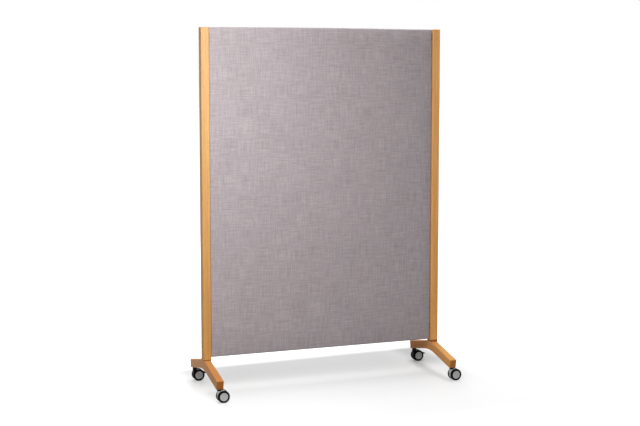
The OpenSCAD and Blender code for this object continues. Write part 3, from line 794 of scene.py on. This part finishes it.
def sound_boards():
    """The two sound-absorbing boards, under and over the middle rail."""
    low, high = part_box("acoustic_core")
    rail_low, rail_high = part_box("middle_rail")
    mesh = bmesh.new()
    for bottom, top in ((low.z, rail_low.z - BOARD_CLEARANCE), (rail_high.z + BOARD_CLEARANCE, high.z)):
        board = block((high.x - low.x, high.y - low.y - BOARD_CLEARANCE, top - bottom), 2 * MM)
        middle = ((low.x + high.x) / 2, 0, (bottom + top) / 2)
        bmesh.ops.translate(board, vec=middle, verts=board.verts)
        absorb(mesh, board)
    return mesh


class PARTITION_OT_cover(bpy.types.Operator):
    """Makes the cloth cover in two halves that meet in a seam along the panel's edges"""

    bl_idname = "partition.cover"
    bl_label = "Cloth Cover"

    def execute(self, context):
        settings = context.scene.partition_cover
        form = PanelForm(settings)
        cloth = cover_cloth(settings)
        for name in SIDES:
            piece = dress(cover_half(form, name, cloth), "root", "panel_fabric", f"{name}_fabric")
        return {"FINISHED"}


class PARTITION_OT_padding(bpy.types.Operator):
    """Makes the felt pads under the cover and the sound-absorbing boards in the frame"""

    bl_idname = "partition.padding"
    bl_label = "Felt and Boards"

    def execute(self, context):
        form = PanelForm(context.scene.partition_cover)
        white = felt("padding_felt", (0.66, 0.66, 0.63))
        for name in SIDES:
            pad = dress(felt_pad(form, name, white), "root", "padding_felt", f"{name}_padding")
        boards = finished("sound_boards", sound_boards(), felt("core_board", (0.30, 0.33, 0.28)), sharp=50)
        dress(boards, "root", "core_board", "acoustic_core")
        return {"FINISHED"}


class PARTITION_OT_woodwork(bpy.types.Operator):
    """Finishes the oak posts and feet, and the plain wood of the inner frame and dowels"""

    bl_idname = "partition.woodwork"
    bl_label = "Woodwork"

    def execute(self, context):
        settings = context.scene.partition_wood
        for name, tints_and_painted_light in POST_TINTS_AND_PAINTED_LIGHT.items():
            paint((name,), oak(name, "z", settings, tints_and_painted_light, joint_shade=PAINTED_SHADE_REACH[name]))
        for name, tints_and_painted_light in FOOT_TINTS_AND_PAINTED_LIGHT.items():
            paint((name,), oak(name, "y", settings, tints_and_painted_light, slope=LEG_SLOPE))
        paint(FRAME_UPRIGHT, frame_wood("frame_wood_upright", "z", settings))
        paint(FRAME_ACROSS, frame_wood("frame_wood_across", "x", settings))
        paint(("foot_dowels",), frame_wood("dowel_wood", "z", settings))
        return {"FINISHED"}


class PARTITION_OT_fasteners(bpy.types.Operator):
    """Finishes the bolts, washers, inserts, sockets, stems, axles and pins"""

    bl_idname = "partition.fasteners"
    bl_label = "Fasteners"

    def execute(self, context):
        bare = (0.55, 0.56, 0.58)
        black = turned_metal("blackened_steel", (0.050, 0.044, 0.040), 0.40, "x")
        brass = turned_metal("turned_brass", (0.70, 0.50, 0.22), 0.30, "x")
        steel = turned_metal("turned_steel", bare, 0.28, "z")
        axle_steel = turned_metal("axle_steel", bare, 0.28, "y")
        paint(("panel_bolts",), black)
        paint(("panel_inserts", "post_inserts", "caster_sockets"), brass)
        paint(("foot_bolts", "foot_washers"), steel)
        paint([f"{caster}_stem" for caster in CASTERS], steel)
        paint([f"{caster}_axle" for caster in CASTERS], axle_steel)
        paint(("rear_left_lever_pin", "rear_right_lever_pin"), axle_steel)
        paint(("panel_spacers",), moulded("spacer_plastic", (0.02, 0.02, 0.02)))
        return {"FINISHED"}


# ---- Casters ----

# Along the axle, from the middle of the fork to a wheel's inner and outer side.
TYRE_IN = 10.1 * MM
TYRE_OUT = 21.1 * MM
TYRE_R = 30 * MM
HUB_R = 21 * MM

# The hub's outer face, and its web with pockets between these radii.
HUB_FACE = TYRE_OUT - 0.5 * MM
HUB_WEB = HUB_FACE - 1.3 * MM
POCKET_IN = 8.2 * MM
POCKET_OUT = 13.0 * MM

# From the axle to the hole for the brake lever's pin.
PIN_FROM_AXLE = Vector((17 * MM, 0, 15 * MM))


def tyre_profile():
    """The tyre's section: a crowned tread, round shoulders, walls with a bead line, a seat and a lip."""
    shoulder = 2.9 * MM
    crown = 0.25 * MM
    crown_start = 2.4 * MM
    crown_drop = 0.06 * MM
    mould_line = 0.35 * MM
    mould_depth = 0.3 * MM
    edge_r = TYRE_R - crown - shoulder
    middle = (TYRE_IN + TYRE_OUT) / 2
    tread = arc((edge_r, TYRE_OUT - shoulder), shoulder, 90, 12, 6)
    tread += [(TYRE_R - crown_drop, middle + crown_start), (TYRE_R, middle + mould_line),
              (TYRE_R - mould_depth, middle), (TYRE_R, middle - mould_line),
              (TYRE_R - crown_drop, middle - crown_start)]
    tread += arc((edge_r, TYRE_IN + shoulder), shoulder, -12, -90, 6)
    bead = HUB_R + 2.4 * MM
    bead_half = 0.5 * MM
    groove = 0.35 * MM
    inner_wall = [(bead + bead_half, TYRE_IN), (bead, TYRE_IN + groove), (bead - bead_half, TYRE_IN)]
    outer_wall = [(bead - bead_half, TYRE_OUT), (bead, TYRE_OUT - groove), (bead + bead_half, TYRE_OUT)]
    lip_r = HUB_R - 1.0 * MM
    lip_seat = TYRE_OUT - 0.45 * MM
    lip_edge = TYRE_OUT - 0.15 * MM
    seat = [(HUB_R, TYRE_IN), (HUB_R, lip_seat), (lip_r, lip_seat), (lip_r, lip_edge),
            (lip_r + 0.2 * MM, TYRE_OUT)]
    return tread + inner_wall + seat + outer_wall


def hub_profile():
    """The hub's section, from the middle of its cap round its rim to the bore for the axle."""
    dimple_r = 1.6 * MM
    cap_r = 6.0 * MM
    cap_round = 0.7 * MM
    ring_r = 15.2 * MM
    ring_round = 0.6 * MM
    groove_r = 17.9 * MM
    groove = 0.3 * MM
    rim = HUB_R - 0.05 * MM
    rim_round = 0.8 * MM
    bore = 4.1 * MM
    bore_end = HUB_WEB - 0.4 * MM
    profile = [(0, HUB_FACE - 0.9 * MM), (dimple_r, HUB_FACE - 0.8 * MM),
               (dimple_r + 0.9 * MM, HUB_FACE - 0.2 * MM)]
    profile += arc((cap_r, HUB_FACE - cap_round), cap_round, 90, 0, 3)
    profile += [(cap_r + 1.0 * MM, HUB_WEB), (POCKET_IN, HUB_WEB), (POCKET_OUT, HUB_WEB),
                (ring_r - 1.0 * MM, HUB_WEB)]
    profile += arc((ring_r, HUB_FACE - ring_round), ring_round, 180, 90, 3)
    profile += [(groove_r - groove, HUB_FACE), (groove_r, HUB_FACE - groove), (groove_r + groove, HUB_FACE)]
    profile += arc((rim - rim_round, HUB_FACE - rim_round), rim_round, 90, 0, 3)
    return profile + [(rim, TYRE_IN), (bore, TYRE_IN), (bore, bore_end), (0, bore_end)]


def hub_mesh():
    """The hub with pockets between the ribs of its web."""
    steps = 60
    pockets = 5
    faces_per_pocket = steps // pockets
    rib_faces = 4
    mesh = lathe(hub_profile(), steps, closed=False)
    chosen = []
    for face in mesh.faces:
        centre = face.calc_center_median()
        on_web = abs(centre.z - HUB_WEB) < 2 * MERGE and POCKET_IN < centre.xy.length < POCKET_OUT
        turn = math.degrees(math.atan2(centre.y, centre.x)) % 360
        if on_web and int(turn // (360 / steps)) % faces_per_pocket >= rib_faces:
            chosen.append(face)
    bmesh.ops.inset_region(mesh, faces=chosen, thickness=0.5 * MM, depth=-2.0 * MM,
                           use_boundary=True, use_even_offset=True)
    return mesh


def wheel_place(caster, side):
    """Turns a lathed part's axis outwards along the axle, and puts it on the axle."""
    turn = Matrix.Rotation(math.radians(-90 * side), 4, "X")
    return Matrix.Translation(middle_of(f"{caster}_axle")) @ turn


def fork_mesh(caster):
    """The fork as moulded, with its rims rounded over: between cheek and edge, away from its bores."""
    mesh = bmesh.new()
    mesh.from_mesh(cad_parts[f"{caster}_fork"].data)
    bmesh.ops.remove_doubles(mesh, verts=mesh.verts, dist=MERGE)
    bmesh.ops.dissolve_limit(mesh, angle_limit=math.radians(1), verts=mesh.verts, edges=mesh.edges)
    axle = middle_of(f"{caster}_axle")
    bores = ((axle, 9 * MM), (axle + PIN_FROM_AXLE, 3 * MM))
    rims = []
    for edge in mesh.edges:
        upright, sideways = sorted(abs(face.normal.y) for face in edge.link_faces)
        middle = (edge.verts[0].co + edge.verts[1].co) / 2
        bored = any((middle - place).xz.length < radius for place, radius in bores)
        if upright < 0.05 and sideways > 0.99 and edge.is_convex and not bored:
            rims.append(edge)
    round_over(mesh, rims, 1.1 * MM, 3)
    return mesh


def collar_mesh(caster):
    """The collar between fork and leg, with the groove where the swivel is sealed."""
    low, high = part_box(f"{caster}_collar")
    outer = 11 * MM
    bore = 5.05 * MM
    edge = 1.0 * MM
    seal = low.z + 3.2 * MM
    seal_half = 0.5 * MM
    profile = [(bore, low.z), (outer - 1.2 * MM, low.z)]
    profile += arc((outer - edge, low.z + edge), edge, -80, 0, 4)
    profile += [(outer, seal - seal_half), (outer - 0.6 * MM, seal), (outer, seal + seal_half),
                (outer, high.z), (bore, high.z)]
    mesh = lathe(profile, steps=48, closed=True)
    middle = (low + high) / 2
    bmesh.ops.translate(mesh, vec=(middle.x, middle.y, 0), verts=mesh.verts)
    return mesh


LEVER_EYE = 4.2 * MM
LEVER_HALF = 6 * MM

# From the lever's inner end to the root of its toe tab, and from its lowest point to the tab.
TAB_ROOT = 18.6 * MM
TAB_BASE = 1.0 * MM

# The top of the toe tab slopes from its heel, this far from the root, down to its tip.
HEEL = 5 * MM
HEEL_HEIGHT = 6.9 * MM
TIP_BACK = 0.5 * MM
TIP_HEIGHT = 3.9 * MM


def lever_eye(pin):
    """The lever's eye: a ring bored for the pin, with bevelled rims."""
    bore = 1.55 * MM
    rim = 0.6 * MM
    ring = lathe([(bore, -LEVER_HALF), (LEVER_EYE - rim, -LEVER_HALF), (LEVER_EYE, rim - LEVER_HALF),
                  (LEVER_EYE, LEVER_HALF - rim), (LEVER_EYE - rim, LEVER_HALF), (bore, LEVER_HALF)],
                 steps=48, closed=True)
    bmesh.ops.rotate(ring, matrix=Matrix.Rotation(math.radians(90), 3, "X"), verts=ring.verts)
    bmesh.ops.translate(ring, vec=(pin.x, 0, pin.z), verts=ring.verts)
    return ring


def lever_arm(pin, root, base):
    """The arm from the eye into the tab, which starts at root and base."""
    inside = root + 3 * MM
    neck = arc((pin.x, pin.z), LEVER_EYE, 60, 300, 1)
    return plate(neck + [(inside, base + 1.5 * MM), (inside, base + 6.5 * MM)],
                 2 * LEVER_HALF - 0.2 * MM, 0.8 * MM)


def lever_tab(root, base, tip):
    """The toe tab, from root to tip."""
    outline = [(root, base), (tip - 1.5 * MM, base + 0.9 * MM), (tip, base + 1.9 * MM),
               (tip - TIP_BACK, base + TIP_HEIGHT), (root + HEEL, base + HEEL_HEIGHT),
               (root, base + 7.3 * MM)]
    return plate(outline, 18 * MM, 1.0 * MM)


def grip_ribs(root, base, tip):
    """The three ribs across the tab's sloping top."""
    slope = math.atan2(HEEL_HEIGHT - TIP_HEIGHT, tip - TIP_BACK - root - HEEL)
    first_rib = 1.0 * MM
    pitch = 2.4 * MM
    ribs = bmesh.new()
    for k in range(3):
        rib = block((1.1 * MM, 13 * MM, 1.2 * MM), 0.35 * MM)
        past_heel = first_rib + k * pitch
        height = base + HEEL_HEIGHT - past_heel * math.tan(slope)
        bmesh.ops.rotate(rib, matrix=Matrix.Rotation(slope, 3, "Y"), verts=rib.verts)
        bmesh.ops.translate(rib, vec=(root + HEEL + past_heel, 0, height), verts=rib.verts)
        absorb(ribs, rib)
    return ribs


def lever_mesh(caster):
    """The brake lever: an eye bored for its pin, an arm, and a toe tab with grip ribs."""
    pin = middle_of(f"{caster}_lever_pin")
    low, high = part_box(f"{caster}_brake_lever")
    root = low.x + TAB_ROOT
    base = low.z + TAB_BASE
    lever = lever_arm(pin, root, base)
    absorb(lever, lever_eye(pin))
    absorb(lever, lever_tab(root, base, high.x))
    absorb(lever, grip_ribs(root, base, high.x))
    bmesh.ops.translate(lever, vec=(0, pin.y, 0), verts=lever.verts)
    return lever


class PARTITION_OT_casters(bpy.types.Operator):
    """Makes the forks, tyres, hubs, collars and brake levers"""

    bl_idname = "partition.casters"
    bl_label = "Casters"

    def execute(self, context):
        settings = context.scene.partition_casters
        rubber = tyre_rubber(settings)
        hub_plastic = moulded("hub_plastic", settings.hub, 0.30, shine=0.9)
        black = moulded("black_plastic", settings.black, 0.45, shine=0.08)
        grey = moulded("grey_plastic", settings.front_fork, 0.40)
        for caster in CASTERS:
            front = caster.startswith("front")
            fork = finished(f"{caster}_fork_moulding", fork_mesh(caster), grey if front else black, sharp=40)
            dress(fork, f"{caster}_caster", "grey_plastic" if front else "black_plastic", f"{caster}_fork")
            self.wheels(caster, rubber, hub_plastic)
            collar = finished(f"{caster}_swivel_collar", collar_mesh(caster), black, sharp=35)
            dress(collar, "root", "black_plastic", f"{caster}_collar")
            if not front:
                lever = finished(f"{caster}_lever_moulding", lever_mesh(caster), black, sharp=35)
                dress(lever, f"{caster}_lever", "black_plastic", f"{caster}_brake_lever")
        return {"FINISHED"}

    def wheels(self, caster, rubber, hub_plastic):
        for wheel, side in WHEELS.items():
            name = f"{caster}_{wheel}"
            place = wheel_place(caster, side)
            tyre = lathe(tyre_profile(), steps=80, closed=True)
            bmesh.ops.transform(tyre, matrix=place, verts=tyre.verts)
            piece = finished(f"{name}_tread", tyre, rubber, sharp=50)
            dress(piece, f"{name}_wheel", "tyre_rubber", f"{name}_tyre")
            hub = hub_mesh()
            bmesh.ops.transform(hub, matrix=place, verts=hub.verts)
            piece = finished(f"{name}_disc", hub, hub_plastic, sharp=35)
            dress(piece, f"{name}_wheel", "hub_plastic", f"{name}_hub")


# ---- Floor, light and camera ----

FLOOR_R = 40

# Patches of floor, turned by this angle. Each edge is where it fades from 0 to 1, in metres
# from the object's middle; all of them share the edge at the back.
FLOOR_TURN = -0.05
BACK_EDGE = (0.565, 0.445)
CLOSE = {"left": (-0.95, -0.58), "right": (1.02, 0.72), "front": (-1.15, -0.75)}
# Painted shadow: on these two patches the floor's white glow is lowered, so the floor is darker under the
# panel and by the right foot.
PAINTED_SHADOW_UNDER_PANEL = {"left": (-0.80, -0.50), "right": (0.95, 0.45), "front": (-0.55, 0.20)}
PAINTED_SHADOW_BY_RIGHT_FOOT = {"left": (0.57, 0.69), "right": (0.88, 0.72), "front": (0.0, 0.22)}

# Each lamp's setting for its power, the side of its square, its place and where it is aimed.
LAMPS = {
    "key_light": ("key_power", 1.4, (-1.05, -1.45, 1.85), (-1.1, 0, 0.3)),
    "fill_light": ("fill_power", 2.5, (0.5, -5.0, 2.2), (0, 0, 0.9)),
    "back_light": ("back_power", 1.4, (0.9, 0.3, 3.1), (0.2, 0, 0.9)),
    "rear_fill": ("rear_power", 2.5, (0.8, 5.0, 2.4), (0, 0, 0.9)),
}


def looking(view):
    """The turn of a lamp or camera that looks this way."""
    return view.to_track_quat("-Z", "Y").to_euler()


def floor_finish(settings):
    """A pale floor that keeps the shadow round the object, with painted shadow under the panel and by the
    right foot, and is white further out.
    """
    floor = Finish("pale_floor")
    place = floor.object_place(turn=(0, 0, FLOOR_TURN))
    x, y, _ = floor.add("SeparateXYZ", {"Vector": place}).outputs

    def patch(left, right, front):
        """1 within a patch of floor and 0 round it."""
        return floor.product(floor.smooth(x, *left), floor.smooth(x, *right),
                             floor.smooth(y, *front), floor.smooth(y, *BACK_EDGE))

    white = floor.spread(patch(**CLOSE), 0.0, 1.0, 1.0, settings.floor_glow)
    # Painted shadow under the panel and by the right foot.
    shaded = floor.maths("ADD", patch(**PAINTED_SHADOW_UNDER_PANEL), patch(**PAINTED_SHADOW_BY_RIGHT_FOOT))
    glow = floor.maths("SUBTRACT", white, floor.product(shaded, settings.painted_floor_shadow))
    seen = floor.seen()
    tone = floor.mix(seen, (settings.floor_bounce,) * 3, (settings.floor_tone,) * 3)
    return floor.surface(Base_Color=tone, Roughness=0.6, Specular_IOR_Level=0.1,
                         Emission_Color=(1.0, 1.0, 1.0), Emission_Strength=floor.product(glow, seen))


class PARTITION_OT_stage(bpy.types.Operator):
    """Makes the floor, the lights, the white backdrop and the camera"""

    bl_idname = "partition.stage"
    bl_label = "Stage"

    def execute(self, context):
        settings = context.scene.partition_stage
        mesh = bmesh.new()
        bmesh.ops.create_circle(mesh, cap_ends=True, cap_tris=False, segments=96, radius=FLOOR_R)
        finished("floor", mesh, floor_finish(settings))
        self.backdrop(context, settings)
        for name, (power, size, place, aim) in LAMPS.items():
            self.lamp(context, name, getattr(settings, power), size, Vector(place), Vector(aim))
        self.camera(context, settings)
        context.scene.view_settings.view_transform = "Standard"
        return {"FINISHED"}

    def backdrop(self, context, settings):
        """A world that is white to look at and gives an even light of its own strength."""
        context.scene.world = bpy.data.worlds.new("studio")
        context.scene.world.use_nodes = True
        world = Nodes(context.scene.world.node_tree)
        white = (1, 1, 1)
        light = world.add("Background", {"Color": white, "Strength": settings.world_light})
        look = world.add("Background", {"Color": white})
        choice = world.add("MixShader", {0: world.seen(), 1: light.outputs[0], 2: look.outputs[0]})
        world.add("OutputWorld", {"Surface": choice.outputs[0]})

    def lamp(self, context, name, power, size, place, aim):
        light = bpy.data.lights.new(name, "AREA")
        light.shape = "SQUARE"
        light.size = size
        light.energy = power
        lamp = bpy.data.objects.new(name, light)
        lamp.location = place
        lamp.rotation_euler = looking(aim - place)
        lamp.visible_camera = False
        context.scene.collection.objects.link(lamp)

    def camera(self, context, settings):
        data = bpy.data.cameras.new("camera")
        data.sensor_width = 36
        data.lens = settings.lens
        data.shift_y = settings.camera_shift
        camera = bpy.data.objects.new("camera", data)
        camera.location = settings.camera_place
        turn, dip = settings.camera_turn, settings.camera_dip
        view = Vector((math.sin(turn) * math.cos(dip), math.cos(turn) * math.cos(dip), -math.sin(dip)))
        camera.rotation_euler = looking(view)
        context.scene.collection.objects.link(camera)
        context.scene.camera = camera


class PARTITION_PT_sidebar(bpy.types.Panel):
    """Lists the partition's settings and the steps that make it"""

    bl_idname = "PARTITION_PT_sidebar"
    bl_label = "Rolling Partition"
    bl_space_type = "VIEW_3D"
    bl_region_type = "UI"
    bl_category = "Partition"

    def draw(self, context):
        for group, place in GROUPS.items():
            settings = getattr(context.scene, place)
            box = self.layout.box()
            for name in group.__annotations__:
                box.prop(settings, name)
        for step in STEPS:
            self.layout.operator(step.bl_idname)


GROUPS = {
    CoverSettings: "partition_cover",
    WoodSettings: "partition_wood",
    CasterSettings: "partition_casters",
    StageSettings: "partition_stage",
}
STEPS = (PARTITION_OT_stage, PARTITION_OT_woodwork, PARTITION_OT_padding, PARTITION_OT_cover,
         PARTITION_OT_fasteners, PARTITION_OT_casters)


def register():
    for group, name in GROUPS.items():
        bpy.utils.register_class(group)
        setattr(bpy.types.Scene, name, bpy.props.PointerProperty(type=group))
    for step in (*STEPS, PARTITION_PT_sidebar):
        bpy.utils.register_class(step)


def unregister():
    for step in reversed((*STEPS, PARTITION_PT_sidebar)):
        bpy.utils.unregister_class(step)
    for group, name in reversed(GROUPS.items()):
        delattr(bpy.types.Scene, name)
        bpy.utils.unregister_class(group)


def main():
    register()
    bpy.ops.partition.stage()
    bpy.ops.partition.woodwork()
    bpy.ops.partition.padding()
    bpy.ops.partition.cover()
    bpy.ops.partition.fasteners()
    bpy.ops.partition.casters()


if __name__ == "__main__":
    main()
